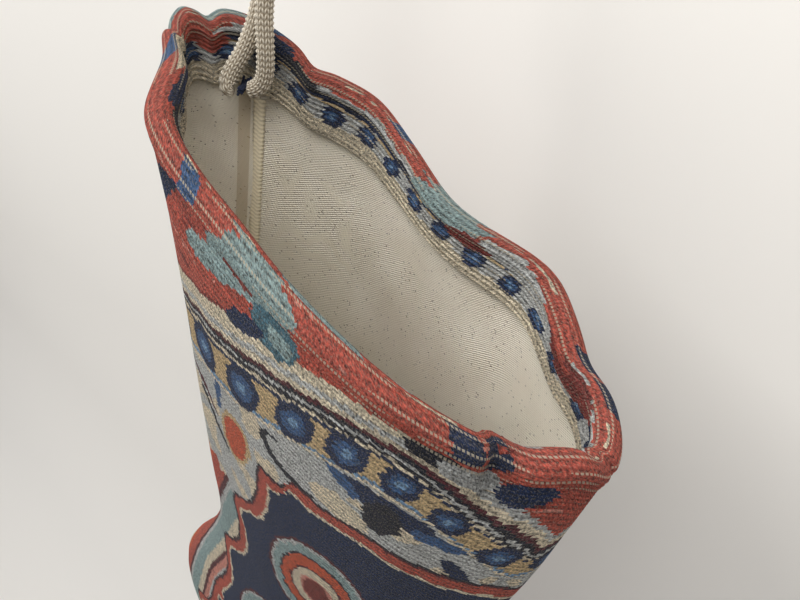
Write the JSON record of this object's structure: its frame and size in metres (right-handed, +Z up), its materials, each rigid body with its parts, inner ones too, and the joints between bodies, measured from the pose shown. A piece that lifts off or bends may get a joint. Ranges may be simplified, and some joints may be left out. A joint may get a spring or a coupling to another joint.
{
  "type": "hanging stocking",
  "caption": "Lined cloth stocking with a rolled hem round its open mouth and a knitted cord loop sewn inside the heel seam to hang it by.",
  "frame": {"origin": "underside of the hanging loop's top, where the loop bears on its hook", "axes": "+Z up, +X toward the toe side of the stocking, -Y toward its front panel, as it hangs"},
  "size_m": [0.279, 0.0796, 0.5371],
  "materials": {
    "chenille": "ribbed printed chenille",
    "twill": "natural cotton twill",
    "seam_thread": "matte thread",
    "cord": "knitted cotton",
    "tack_thread": "matte thread"
  },
  "bodies": {
    "loop": {"hanging_loop": "cord"},
    "tack": {"loop_tack": "tack_thread"},
    "stocking": {"outer_front": "chenille", "outer_back": "chenille", "lining_front": "twill", "lining_back": "twill", "overlock_heel_seam": "seam_thread", "overlock_toe_seam": "seam_thread"}
  },
  "joints": [
    {"name": "swing_out", "type": "hinge", "parent": "loop", "child": "tack", "pos_m": [-0.01584, -0.02816, -0.088], "axis": [-1, 0, 0], "range_deg": [0, 60]},
    {"name": "swing_sideways", "type": "hinge", "parent": "tack", "child": "stocking", "pos_m": [-0.01584, -0.02816, -0.088], "axis": [0, -1, 0], "range_deg": [0, 25]}
  ]
}
